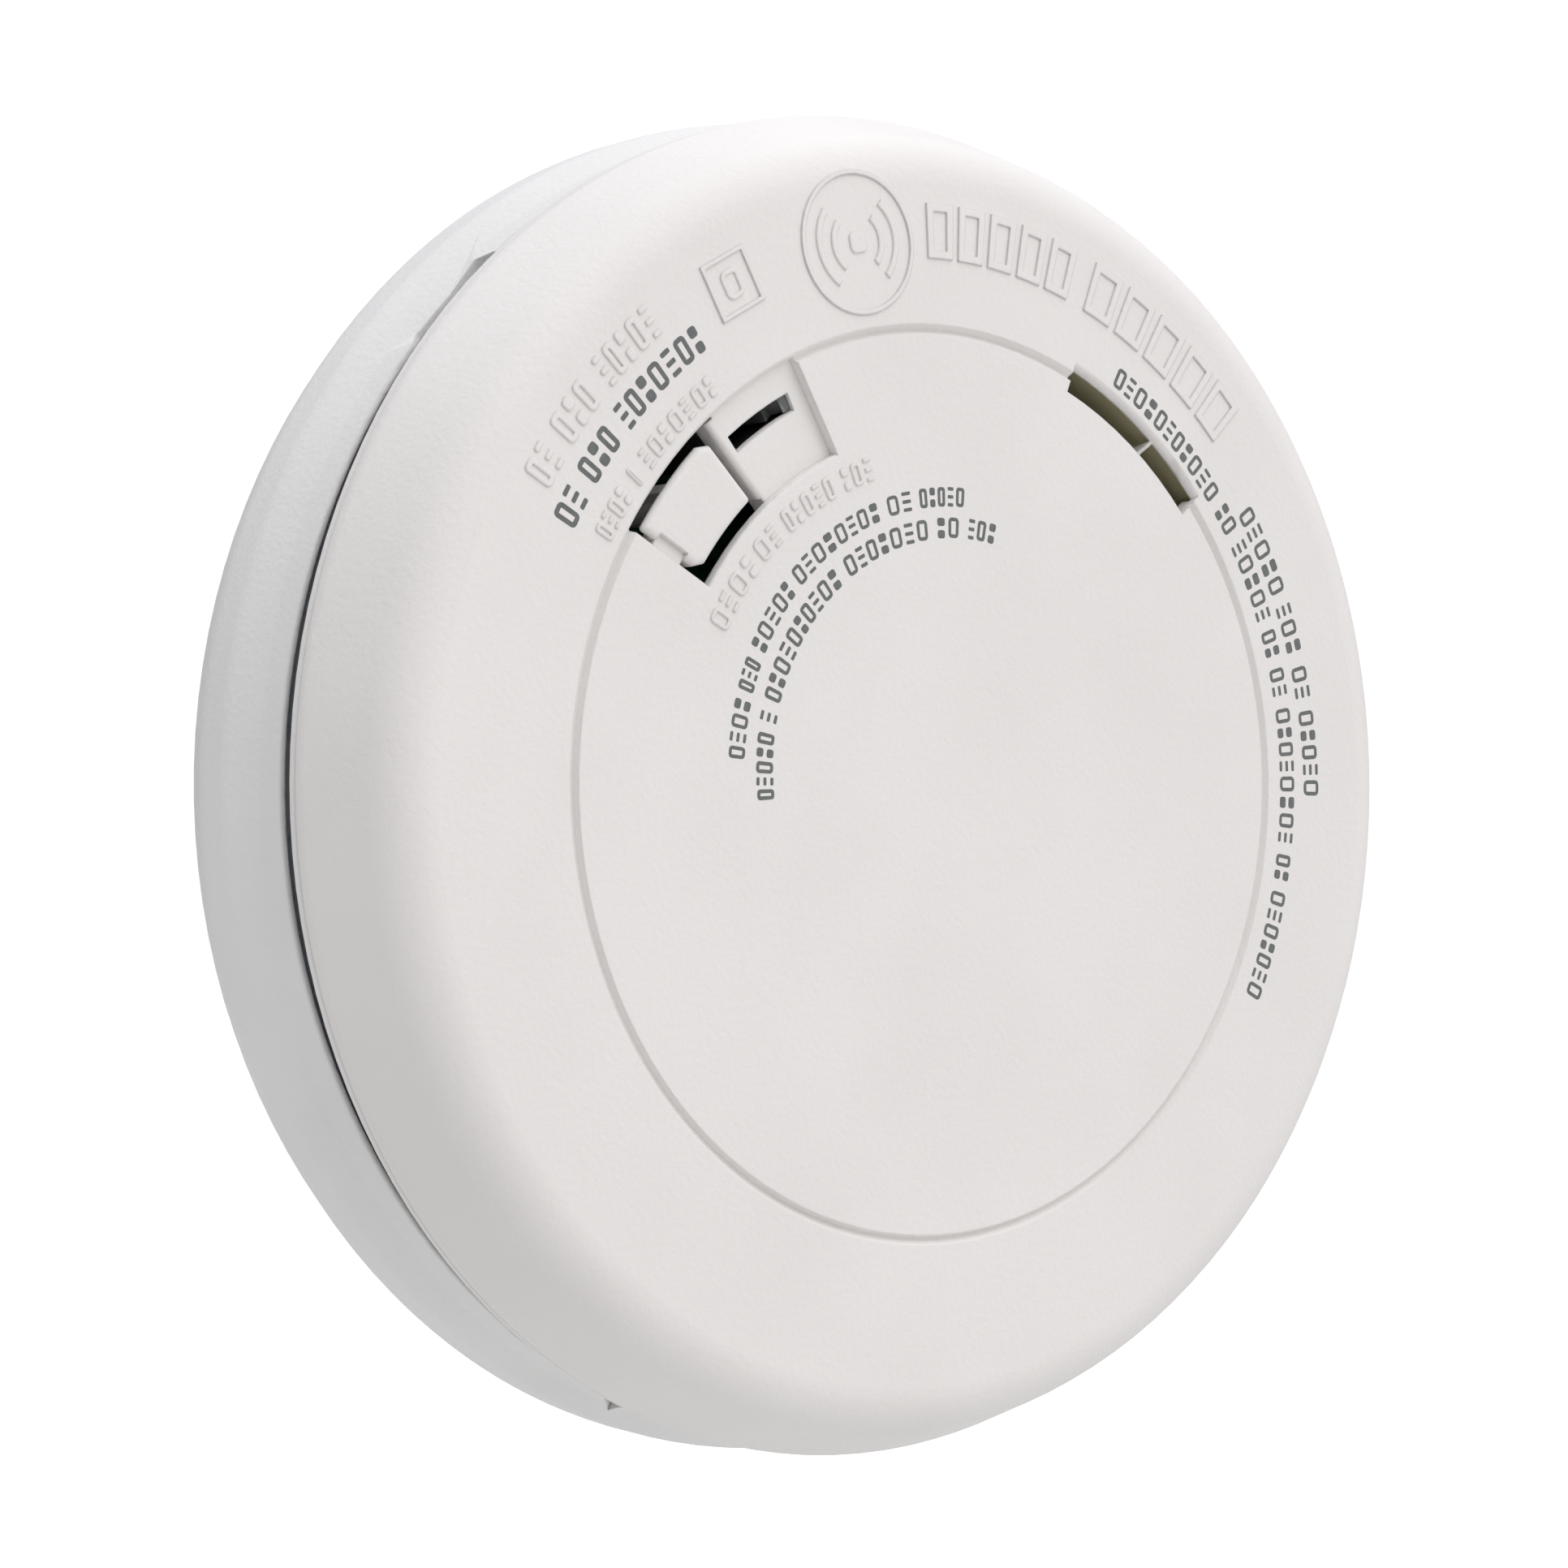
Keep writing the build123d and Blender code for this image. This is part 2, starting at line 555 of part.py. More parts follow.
def optic(angle):
    """A 3 mm round lamp body with its lens towards the chamber's middle and two legs to the board."""
    barrel = Pos(15.0, 0, optic_z) * Rot(0, 90, 0) * Cylinder(1.5, 5.0)
    lens = Pos(12.5, 0, optic_z) * Sphere(1.5)
    legs = [block((17.4, y - 0.2, chamber_low - 1.9), (17.9, y + 0.2, optic_z + 0.2)) for y in leg_spacing]
    return chamber_place() * Rot(0, 0, angle) * (barrel + lens + legs)


# ---- carbon monoxide cell -----------------------------------------------------------------------
def sensor_can():
    can = disc(sensor_r, board_top + 0.6, board_top + 14.0, sensor_x, sensor_y)
    can = fillet(edges_at(can, sensor_r, board_top + 14.0), 0.8)
    return can - disc(6.0, board_top + 12.5, board_top + 15, sensor_x, sensor_y)


def sensor_filter():
    """The charcoal filter cap that gas passes through, with its inlet hole."""
    cap = disc(5.9, board_top + 12.5, board_top + 15.2, sensor_x, sensor_y)
    return cap - disc(1.2, board_top + 13.5, board_top + 16, sensor_x, sensor_y)


sensor_pin_spots = ((-5.0, 0.0), (5.0, 0.0), (0.0, 5.0))


def sensor_pins():
    low, high = board_z - 0.8, board_top + 0.6
    return group([disc(0.5, low, high, sensor_x + x, sensor_y + y) for x, y in sensor_pin_spots])


# ---- horn ---------------------------------------------------------------------------------------
vent_middle = (vent_right + vent_left) / 2
piezo_z = board_top + 8.6


def horn_housing():
    shell = tube(horn_r, horn_r - 1.5, board_top + 0.05, horn_top, horn_x, horn_y)
    shell += tube(horn_r - 1.0, horn_r - 4.6, piezo_z - 1.0, piezo_z, horn_x, horn_y)
    port = Rot(0, 0, vent_middle) * block((8, -7, 22.6), (20, 7, 26.6))
    return shell - Pos(horn_x, horn_y, 0) * port


def horn_cap():
    lid = disc(horn_r - 1.6, horn_top - 1.4, horn_top, horn_x, horn_y)
    return lid - disc(3.0, horn_top - 2, horn_top + 1, horn_x, horn_y)


def horn_gasket():
    return tube(horn_r - 0.3, horn_r - 3.0, horn_top, skin_z - 0.05, horn_x, horn_y) - vent_clearance()


def vent_clearance():
    return sector(vent_in - 2.0, vent_lip + 2, vent_right - 3, vent_left + 3, 27.0, 31.0)


def piezo_plate():
    return disc(horn_r - 1.6, piezo_z, piezo_z + 0.25, horn_x, horn_y)


def piezo_ceramic():
    return disc(10.0, piezo_z - 0.2, piezo_z, horn_x, horn_y)


def piezo_springs():
    """Three contact springs from the board: plate, drive electrode and feedback electrode."""
    def spring(x, y, top):
        coil_low = board_top
        turns_pitch = (top - coil_low) / 5
        path = Helix(turns_pitch, top - coil_low - 0.3, 0.9)
        wire = sweep(Plane(origin=path @ 0, z_dir=path % 0) * Circle(0.15), path)
        return Pos(horn_x + x, horn_y + y, coil_low + 0.15) * wire
    low_top = piezo_z - 0.2
    return group([spring(11.6, 0.0, piezo_z), spring(0.0, 3.0, low_top), spring(0.0, -7.0, low_top)])


def sound_duct():
    """A curved trough under the vent that leads the horn's sound out."""
    low, high = 21.0, 28.5
    first, last = vent_right - 1.5, vent_left + 1.5
    trough = sector(44.4, duct_out, first, last, low, high)
    trough -= sector(43.0, duct_in, first + 1.5, last - 1.5, low + 1.2, high + 1)
    trough += sector(duct_in, duct_out, first, last, high - 0.1, duct_top)
    trough -= disc(horn_r + 0.15, low - 1, high + 1, horn_x, horn_y)
    feet = [at(48.3, angle) * block((-1, -1, board_top + 0.05), (0.7, 1, low + 0.1)) for angle in (44, 66)]
    return trough + feet


# ---- circuit board ------------------------------------------------------------------------------
def cell_place():
    return at(cell_centre_r, cell_angle)


def circuit_board():
    board = disc(board_r, board_z, board_top)
    board -= cell_place() * block((-11.4, -20.6, board_z - 1), (14.0, 20.6, board_top + 1))
    board -= [disc(1.5, board_z - 1, board_top + 1, x, y) for x, y in board_screws]
    leg_holes = [block((17.3, y - 0.3, board_z - 1), (18.0, y + 0.3, board_top + 1)) for y in leg_spacing]
    for angle in (emitter_angle, receiver_angle):
        board -= [chamber_place() * Rot(0, 0, angle) * hole for hole in leg_holes]
    for x, y in sensor_pin_spots:
        board -= disc(0.55, board_z - 1, board_top + 1, sensor_x + x, sensor_y + y)
    return board


def chip(x, y, size, height, pins):
    """A flat chip package with a row of gull-wing legs on two sides."""
    body = Pos(x, y, board_top + height / 2 + 0.1) * Box(size, size, height)
    legs = []
    for i in range(pins):
        offset = (i - (pins - 1) / 2) * size / pins
        legs.append(Pos(x, y + offset, board_top + 0.2) * Box(size + 2.0, size / pins * 0.45, 0.25))
    return body + legs


def microcontroller():
    return chip(31.0, 3.0, 7.0, 1.4, 8)


def sensor_amplifier():
    return chip(-27.0, 10.5, 4.0, 1.2, 4)


def chip_components():
    """Small resistors and ceramic capacitors."""
    part = block((-1.0, -0.6, board_top), (1.0, 0.6, board_top + 0.6))
    rows = [(-22.0 + 3.4 * i, 5.0) for i in range(6)] + [(-14.0 + 3.4 * i, 14.5) for i in range(3)]
    rows += [(37.0, -2.0 + 3.0 * i) for i in range(5)] + [(-33.0 + 3.2 * i, 17.0) for i in range(2)]
    return group([Pos(x, y, 0) * part for x, y in rows])


def capacitors():
    """Two electrolytic cans."""
    def can(x, y):
        body = disc(3.2, board_top + 0.4, board_top + 9.0, x, y)
        return fillet(edges_at(body, 3.2, board_top + 9.0), 0.5) + disc(2.8, board_top, board_top + 0.5, x, y)
    return group([can(-12.5, 40.0), can(-11.0, 31.0)])


def horn_coil():
    """The drum coil that steps the horn's voltage up."""
    x, y = -2.0, 39.5
    low = disc(4.6, board_top, board_top + 1.2, x, y)
    high = disc(4.6, board_top + 8.0, board_top + 9.2, x, y)
    return low + high + disc(2.0, board_top, board_top + 9.0, x, y)


def coil_winding():
    return tube(3.9, 2.0, board_top + 1.2, board_top + 8.0, -2.0, 39.5)


# ---- test switch --------------------------------------------------------------------------------
plunger_r = 1.7


def test_switch():
    body = at(press_r, press_angle) * block((-3, -3, board_top), (3, 3, board_top + 3.4))
    return body - at(press_r, press_angle) * disc(plunger_r + running, board_top + 1.6, board_top + 4)


def test_plunger():
    return at(press_r, press_angle) * disc(plunger_r, board_top + 2.4, board_top + 3.75)


# ---- power switch -------------------------------------------------------------------------------
def switch_place():
    return at(switch_r, switch_angle)


def power_switch():
    """A slide switch under the board, long enough for the slider's whole travel."""
    shell = block((-3.0, -switch_travel - 4.0, 7.2), (3.0, 4.0, board_z))
    channel = block((-1.3, -switch_travel - 2.6, 6.0), (1.3, 2.6, 9.4))
    return switch_place() * (shell - channel)


def power_slider():
    """The knob, forked at its end so that the bracket's fin carries it."""
    stem = block((-1.15, -1.9, 3.0), (1.15, 1.9, 9.2))
    palm = block((-1.8, -1.9, 2.5), (1.8, 1.9, 4.0))
    fork = block((-3.0, -0.85, 2.0), (3.0, 0.85, 4.5))
    return switch_place() * (stem + palm - fork)


# ---- sealed cell --------------------------------------------------------------------------------
cell_end = cell_length / 2
tab_thick = 0.2
lead_r = 0.65


def along_cell():
    """Own Z runs along the cell."""
    return cell_place() * Pos(0, 0, cell_z) * Rot(-90, 0, 0)


def lithium_cell():
    can = fillet(Cylinder(cell_r, cell_length - 1.2).edges(), 0.8)
    nose = Pos(0, 0, cell_end - 0.8) * Cylinder(3.2, 1.6)
    return along_cell() * (Pos(0, 0, -0.6) * can + nose)


def cell_tabs():
    """Nickel strips on the two ends, each bent down towards the board."""
    plus = block((-2.0, -0.5, cell_end), (2.0, 7.0, cell_end + tab_thick))
    minus = block((-2.0, -0.5, -cell_end - tab_thick), (2.0, 7.0, -cell_end))
    return group([along_cell() * plus, along_cell() * minus])


def cell_lead(side):
    """A wire from one end of the cell over to the board."""
    along = cell_end + tab_thick + lead_r + 0.02
    z = board_top + lead_r + 0.05
    corners = ((0.5, side * along, z), (-8.5, side * along, z), (-15.0, side * 12.6, z))
    path = FilletPolyline(*corners, radius=2.0)
    wire = sweep(Plane(origin=path @ 0, z_dir=path % 0) * Circle(lead_r), path)
    return cell_place() * wire


def cell_foam():
    """A soft strip between the cell and the face."""
    return cell_place() * block((-6.0, -14.0, cell_z + cell_r + 0.05), (6.0, 14.0, skin_z - 0.05))


# ---- fasteners ----------------------------------------------------------------------------------
def board_screw(x, y):
    """A pan-head self-tapping screw with a cross recess."""
    head = disc(2.4, board_top, board_top + 1.7, x, y)
    head = fillet(edges_at(head, 2.4, board_top + 1.7), 0.8)
    cross = Box(2.6, 0.6, 2.0) + Box(0.6, 2.6, 2.0)
    return head + disc(1.2, pan_z + floor + 0.2, board_top + 0.1, x, y) - Pos(x, y, board_top + 1.9) * cross


pieces = {
    "mounting_bracket": mounting_bracket,
    "locking_pins": locking_pins,
    "back_housing": back_housing,
    "rating_label": rating_label,
    "insect_screen": insect_screen,
    "front_cover": front_cover,
    "test_button": test_button,
    "light_shroud": light_shroud,
    "light_pipe": light_pipe,
    "status_leds": status_leds,
    "chamber_base": chamber_base,
    "chamber_cap": chamber_cap,
    "chamber_screen": chamber_screen,
    "infrared_emitter": lambda: optic(emitter_angle),
    "light_receiver": lambda: optic(receiver_angle),
    "gas_sensor_can": sensor_can,
    "gas_sensor_filter": sensor_filter,
    "gas_sensor_pins": sensor_pins,
    "horn_housing": horn_housing,
    "horn_cap": horn_cap,
    "horn_gasket": horn_gasket,
    "piezo_plate": piezo_plate,
    "piezo_ceramic": piezo_ceramic,
    "piezo_springs": piezo_springs,
    "sound_duct": sound_duct,
    "circuit_board": circuit_board,
    "microcontroller": microcontroller,
    "sensor_amplifier": sensor_amplifier,
    "chip_components": chip_components,
    "capacitors": capacitors,
    "horn_coil": horn_coil,
    "coil_winding": coil_winding,
    "test_switch": test_switch,
    "test_plunger": test_plunger,
    "power_switch": power_switch,
    "power_slider": power_slider,
    "lithium_cell": lithium_cell,
    "cell_tabs": cell_tabs,
    "positive_lead": lambda: cell_lead(1),
    "negative_lead": lambda: cell_lead(-1),
    "cell_foam": cell_foam,
    "board_screws": lambda: group([board_screw(x, y) for x, y in board_screws]),
}

os.makedirs("parts", exist_ok=True)
for name, make in pieces.items():
    export_step(to_wall * make(), f"parts/{name}.step")
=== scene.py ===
import math

import bmesh
import bpy
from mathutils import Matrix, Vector


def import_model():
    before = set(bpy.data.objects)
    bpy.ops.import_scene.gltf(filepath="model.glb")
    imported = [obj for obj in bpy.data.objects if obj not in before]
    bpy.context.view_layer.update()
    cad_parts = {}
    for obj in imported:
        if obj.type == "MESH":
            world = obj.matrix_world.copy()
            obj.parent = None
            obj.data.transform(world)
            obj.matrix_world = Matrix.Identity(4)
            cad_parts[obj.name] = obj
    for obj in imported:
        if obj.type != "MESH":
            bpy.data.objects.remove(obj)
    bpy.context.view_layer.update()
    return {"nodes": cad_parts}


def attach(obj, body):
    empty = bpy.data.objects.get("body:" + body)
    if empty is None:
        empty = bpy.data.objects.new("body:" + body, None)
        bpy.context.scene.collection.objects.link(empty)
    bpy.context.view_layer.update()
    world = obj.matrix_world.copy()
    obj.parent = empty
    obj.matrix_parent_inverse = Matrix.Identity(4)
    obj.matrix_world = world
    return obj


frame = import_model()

# A round smoke and carbon monoxide alarm. Face to -Y, wall plane Y = 0, +Z up, metres.
MM = 0.001

# ---- driving values -----------------------------------------------------------------------------
FACE = 32.0                 # height of the flat face above the wall, mm
SUNK = 0.03                 # how far every mark reaches into the face, mm
RAISED = 0.18               # height of a moulded mark, mm
INKED = 0.015               # thickness of a printed mark, mm
EDGE = 0.05                 # chamfer on the top edge of a moulded mark, mm
INK_EDGE = 0.004            # chamfer on the top edge of a printed mark, mm
STROKE = 0.18               # stroke of a mark, as a share of its height
MARK_FILL = 0.74            # share of the pitch a mark fills
MARK_WIDTHS = (1.0, 0.84, 1.1, 0.92, 1.05, 0.8)
MARK_KINDS = (0, 1, 0, 2)   # hollow box, three dashes, two blocks
NARROWEST = 0.3             # least width of a mark, as a share of its height
DASH_WIDTH = 0.9            # width of a dash or block, as a share of its mark
BLOCK_HEIGHT = 0.4          # height of a block, as a share of its mark
BAR_CORNER, BOX_CORNER = 0.3, 0.32           # corner radius, as a share of the smaller side
LEAST_CORNER = 0.05         # least inner corner radius, mm
CORNER_POINTS = 4           # points on each rounded corner
ARC_STEPS = 16              # pieces in a small arc

CAMERA_AT = (-0.2211, -0.2858, -0.0023)
CAMERA_LOOKS = (0.618, 0.786, 0.007)
CAMERA_LENS, CAMERA_SENSOR = 75.32, 36.0
FLOOR_LEVEL = -0.13
FLOOR_HALF = 1.5
FLOOR_GLOW = 0.43           # light the floor itself gives the object
FLOOR_SHADE = 0.3           # how much of the other light the floor throws back
SKY_SPREAD = 5.0            # sharpness of each patch of sky
BACKDROP = 1.05             # strength of the white behind the object
BEVEL_SAMPLES = 6
KEY_AT, KEY_SIZE, KEY_POWER = (-0.12, -0.38, 0.34), 0.3, 0.13
# Patches of bright sky: direction, then the strength of red, green and blue.
SKY_PATCHES = (
    ((0.30, 0.00, 0.95), (0.85, 0.87, 0.90)),
    ((-0.50, 0.30, 0.81), (1.24, 1.27, 1.32)),
    ((0.06, -0.66, 0.74), (1.68, 1.65, 1.68)),
    ((0.48, 0.50, 0.72), (0.60, 0.60, 0.66)),
    ((0.78, -0.60, -0.14), (1.24, 1.25, 1.25)),
)

# Rows of marks: radius at the first and last angle, mark height, then words.
# A word is (first angle, last angle, how many marks it holds).
RAISED_ROWS = {
    "raised_row_outer": ((58.1, 58.1), 3.4, (
        (151.3, 147.4, 2), (146.2, 140.1, 3), (138.7, 129.8, 5))),
    "raised_row_button": ((49.15, 49.15), 2.2, (
        (152.0, 145.6, 4), (144.2, 143.2, 1), (141.8, 127.8, 7))),
    "raised_row_inner": ((33.4, 33.4), 2.4, (
        (153.4, 138.8, 4), (138.3, 131.7, 2), (130.3, 116.9, 5), (115.4, 107.6, 3))),
}
PRINTED_ROWS = {
    "printed_row_outer": ((53.6, 53.6), 2.8, (
        (153.3, 149.1, 2), (147.8, 141.7, 3), (140.4, 126.2, 7))),
    "printed_row_upper": ((27.5, 29.6), 2.0, (
        (175.4, 162.5, 4), (161.4, 154.1, 3), (152.5, 136.6, 5), (135.2, 108.6, 8),
        (106.9, 99.6, 2), (98.2, 85.7, 5))),
    "printed_row_lower": ((23.8, 26.7), 2.1, (
        (184.3, 167.8, 5), (166.1, 162.9, 1), (161.0, 124.9, 10), (122.9, 95.9, 7),
        (94.0, 86.7, 2), (84.7, 76.0, 3))),
    "printed_row_right": ((52.9, 54.0), 2.4, (
        (35.5, 23.6, 5), (22.6, 16.1, 3), (14.8, 10.4, 2), (9.4, -1.4, 5))),
    "printed_row_edge": ((49.8, 50.2), 2.3, (
        (61.9, 39.2, 11), (38.1, 34.0, 2), (32.8, 21.5, 5), (20.5, 16.6, 2), (15.5, 11.4, 2),
        (10.3, -7.5, 8), (-8.5, -12.3, 2), (-13.3, -28.0, 7))),
}
BADGE = (55.7, 102.6)       # radius and angle of the round badge's centre
SQUARE = (56.1, 119.9)      # radius and angle of the square mark's centre
SQUARE_BOX = (2.4, 3.0, 0.55)                # width, height and stroke of the box inside it
WAVE_DOT = 2.2              # size of the dot in the badge
WAVE_RADII = (2.7, 4.6)     # inner radii of the badge's arcs
WAVE_STROKE = 0.75
WAVE_HALF = 48              # half the sweep of each arc, in degrees


# ---- geometry helpers ---------------------------------------------------------------------------
def spot(radius, angle, height):
    """A point from its radius, angle and height above the wall, in mm and degrees."""
    a = math.radians(angle)
    return Vector((radius * math.cos(a), -height, radius * math.sin(a))) * MM


def rounded_box(width, height, corner, v=0.0):
    """A rounded rectangle as flat (u, v) points in mm, counter-clockwise."""
    corner = min(corner, width / 2 * 0.98, height / 2 * 0.98)
    outline = []
    for quarter, (sx, sy) in enumerate(((1, 1), (-1, 1), (-1, -1), (1, -1))):
        cu = sx * (width / 2 - corner)
        cv = sy * (height / 2 - corner)
        for part in range(CORNER_POINTS):
            a = math.radians(90 * (quarter + part / (CORNER_POINTS - 1)))
            outline.append((cu + corner * math.cos(a), v + cv + corner * math.sin(a)))
    return outline


def arc_band(inner, outer, first, last):
    """A flat band of an arc about (0, 0) as (u, v) points."""
    turns = [first + (last - first) * i / ARC_STEPS for i in range(ARC_STEPS + 1)]
    angles = [math.radians(turn) for turn in turns]
    outline = [(outer * math.cos(a), outer * math.sin(a)) for a in angles]
    return outline + [(inner * math.cos(a), inner * math.sin(a)) for a in reversed(angles)]


class Marks:
    """Collects closed prisms standing on the face, then turns them into one mesh."""

    def __init__(self, height, edge):
        self.low = FACE - SUNK
        self.high = FACE + height
        self.edge = edge
        self.mesh = bmesh.new()

    def ring(self, outline, radius, angle, height):
        """Lays a flat outline on the face: u runs clockwise along the arc, v outwards."""
        made = []
        for u, v in outline:
            turn = angle - math.degrees(u / radius)
            made.append(self.mesh.verts.new(spot(radius + v, turn, height)))
        return made

    def join(self, lower, upper):
        """Walls between two rings of points."""
        for i in range(len(lower)):
            j = (i + 1) % len(lower)
            self.mesh.faces.new((lower[i], lower[j], upper[j], upper[i]))

    def prism(self, outline, top_outline, radius, angle):
        """A closed prism; its top edge narrows to the second outline."""
        foot = self.ring(outline, radius, angle, self.low)
        neck = self.ring(outline, radius, angle, self.high - self.edge)
        top = self.ring(top_outline, radius, angle, self.high)
        self.join(foot, neck)
        self.join(neck, top)
        self.mesh.faces.new(top)
        self.mesh.faces.new(list(reversed(foot)))

    def bar(self, width, height, radius, angle, v=0.0):
        """A solid rounded bar, v above its spot."""
        corner = min(width, height) * BAR_CORNER
        top = rounded_box(width - 2 * self.edge, height - 2 * self.edge, corner - self.edge / 2, v)
        self.prism(rounded_box(width, height, corner, v), top, radius, angle)

    def box(self, width, height, stroke, radius, angle):
        """A hollow rounded box."""
        corner = min(width, height) * BOX_CORNER
        inner_corner = max(corner - stroke, LEAST_CORNER)
        slope = self.edge
        inner = (width - 2 * stroke, height - 2 * stroke)
        shapes = (
            (rounded_box(width, height, corner), self.low),
            (rounded_box(width, height, corner), self.high - slope),
            (rounded_box(width - 2 * slope, height - 2 * slope, corner - slope / 2), self.high),
            (rounded_box(inner[0] + 2 * slope, inner[1] + 2 * slope, inner_corner + slope), self.high),
            (rounded_box(*inner, inner_corner), self.high - slope),
            (rounded_box(*inner, inner_corner), self.low),
        )
        rings = [self.ring(outline, radius, angle, height) for outline, height in shapes]
        for i, lower in enumerate(rings):
            self.join(lower, rings[(i + 1) % len(rings)])

    def band(self, inner, outer, first, last, radius, angle):
        """Part of a small ring drawn about a spot on the face."""
        slope = self.edge
        lean = math.degrees(slope / outer)
        top = arc_band(inner + slope, outer - slope, first + lean, last - lean)
        self.prism(arc_band(inner, outer, first, last), top, radius, angle)

    def piece(self, name, material):
        """The finished mesh, carried by the alarm."""
        bmesh.ops.recalc_face_normals(self.mesh, faces=self.mesh.faces)
        data = bpy.data.meshes.new(name)
        self.mesh.to_mesh(data)
        self.mesh.free()
        made = bpy.data.objects.new(name, data)
        bpy.context.collection.objects.link(made)
        data.materials.append(material)
        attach(made, "alarm")


def blank_mark(marks, kind, width, height, radius, angle):
    """One of three blank marks: a hollow box, a stack of three dashes, or two small blocks."""
    stroke = STROKE * height
    if kind == 0:
        marks.box(width, height, stroke, radius, angle)
        return
    rows = 3 if kind == 1 else 2
    bar_height = stroke if kind == 1 else height * BLOCK_HEIGHT
    for row in range(rows):
        v = (height - bar_height) * (row / (rows - 1) - 0.5)
        marks.bar(width * DASH_WIDTH, bar_height, radius, angle, v)


def row_of_marks(name, material, radii, height, words, thickness, edge):
    """A row of blank marks along an arc, with the word lengths of a line of lettering."""
    marks = Marks(thickness, edge)
    start, end = words[0][0], words[-1][1]
    done = 0
    for first, last, count in words:
        widths = [MARK_WIDTHS[(done + i) % len(MARK_WIDTHS)] for i in range(count)]
        share = (last - first) / sum(widths)
        angle = first
        for i, width in enumerate(widths):
            middle = angle + width * share / 2
            along = (middle - start) / (end - start)
            radius = radii[0] + (radii[1] - radii[0]) * along
            pitch = abs(math.radians(width * share)) * radius
            kind = MARK_KINDS[(done + i) % len(MARK_KINDS)]
            blank_mark(marks, kind, max(pitch * MARK_FILL, height * NARROWEST), height, radius, middle)
            angle += width * share
        done += count
    marks.piece(name, material)


def badge_waves(material):
    """A small sounder sign inside the round badge: a dot with two arcs each side."""
    marks = Marks(RAISED, EDGE)
    marks.bar(WAVE_DOT, WAVE_DOT, *BADGE)
    for radius in WAVE_RADII:
        for middle in (0, 180):
            marks.band(radius, radius + WAVE_STROKE, middle - WAVE_HALF, middle + WAVE_HALF, *BADGE)
    marks.piece("badge_waves", material)


def square_mark(material):
    """A small hollow box inside the square mark."""
    marks = Marks(RAISED, EDGE)
    marks.box(*SQUARE_BOX, *SQUARE)
    marks.piece("square_mark", material)


# ---- material helpers ---------------------------------------------------------------------------
class Look:
    """A node material in the making."""

    def __init__(self, name):
        self.material = bpy.data.materials.new(name)
        self.material.use_nodes = True
        self.nodes = self.material.node_tree.nodes
        self.links = self.material.node_tree.links
        self.surface = self.nodes["Principled BSDF"]
        self.where = self.nodes.new("ShaderNodeTexCoord").outputs["Object"]

    def set(self, **values):
        for key, value in values.items():
            self.surface.inputs[key.replace("_", " ")].default_value = value

    def noise(self, scale, detail=2.0, stretch=None):
        node = self.nodes.new("ShaderNodeTexNoise")
        node.inputs["Scale"].default_value = scale
        node.inputs["Detail"].default_value = detail
        self.links.new(self.placed(stretch), node.inputs["Vector"])
        return node.outputs["Fac"]

    def placed(self, stretch):
        if stretch is None:
            return self.where
        node = self.nodes.new("ShaderNodeMapping")
        node.inputs["Scale"].default_value = stretch
        self.links.new(self.where, node.inputs["Vector"])
        return node.outputs["Vector"]

    def cells(self, scale):
        node = self.nodes.new("ShaderNodeTexVoronoi")
        node.inputs["Scale"].default_value = scale
        self.links.new(self.where, node.inputs["Vector"])
        return node.outputs["Distance"]

    def waves(self, scale, distortion, direction):
        node = self.nodes.new("ShaderNodeTexWave")
        node.bands_direction = direction
        node.inputs["Scale"].default_value = scale
        node.inputs["Distortion"].default_value = distortion
        self.links.new(self.where, node.inputs["Vector"])
        return node.outputs["Fac"]

    def math(self, operation, first, second):
        node = self.nodes.new("ShaderNodeMath")
        node.operation = operation
        self.links.new(first, node.inputs[0])
        self.links.new(second, node.inputs[1])
        return node.outputs[0]

    def spread(self, value, low, high, out_low=0.0, out_high=1.0):
        node = self.nodes.new("ShaderNodeMapRange")
        self.links.new(value, node.inputs["Value"])
        limits = (("From Min", low), ("From Max", high), ("To Min", out_low), ("To Max", out_high))
        for key, limit in limits:
            node.inputs[key].default_value = limit
        return node.outputs["Result"]

    def mix(self, share, first, second):
        node = self.nodes.new("ShaderNodeMix")
        node.data_type = "RGBA"
        self.links.new(share, node.inputs["Factor"])
        for key, colour in (("A", first), ("B", second)):
            socket = [s for s in node.inputs if s.name == key and s.type == "RGBA"][0]
            if isinstance(colour, tuple):
                socket.default_value = (*colour, 1.0)
            else:
                self.links.new(colour, socket)
        return [s for s in node.outputs if s.type == "RGBA"][0]

    def bump(self, height, strength, distance, below=None):
        node = self.nodes.new("ShaderNodeBump")
        node.inputs["Strength"].default_value = strength
        node.inputs["Distance"].default_value = distance
        self.links.new(height, node.inputs["Height"])
        if below is not None:
            self.links.new(below, node.inputs["Normal"])
        return node.outputs["Normal"]

    def soft_edges(self, radius):
        node = self.nodes.new("ShaderNodeBevel")
        node.samples = BEVEL_SAMPLES
        node.inputs["Radius"].default_value = radius
        return node.outputs["Normal"]

    def connect(self, output, key):
        self.links.new(output, self.surface.inputs[key])

    def clear_from_below(self):
        """Lets a camera under the surface see through it."""
        choice = self.nodes.new("ShaderNodeMixShader")
        below = self.nodes.new("ShaderNodeNewGeometry").outputs["Backfacing"]
        self.links.new(below, choice.inputs[0])
        self.links.new(self.surface.outputs[0], choice.inputs[1])
        self.links.new(self.nodes.new("ShaderNodeBsdfTransparent").outputs[0], choice.inputs[2])
        self.links.new(choice.outputs[0], self.nodes["Material Output"].inputs["Surface"])


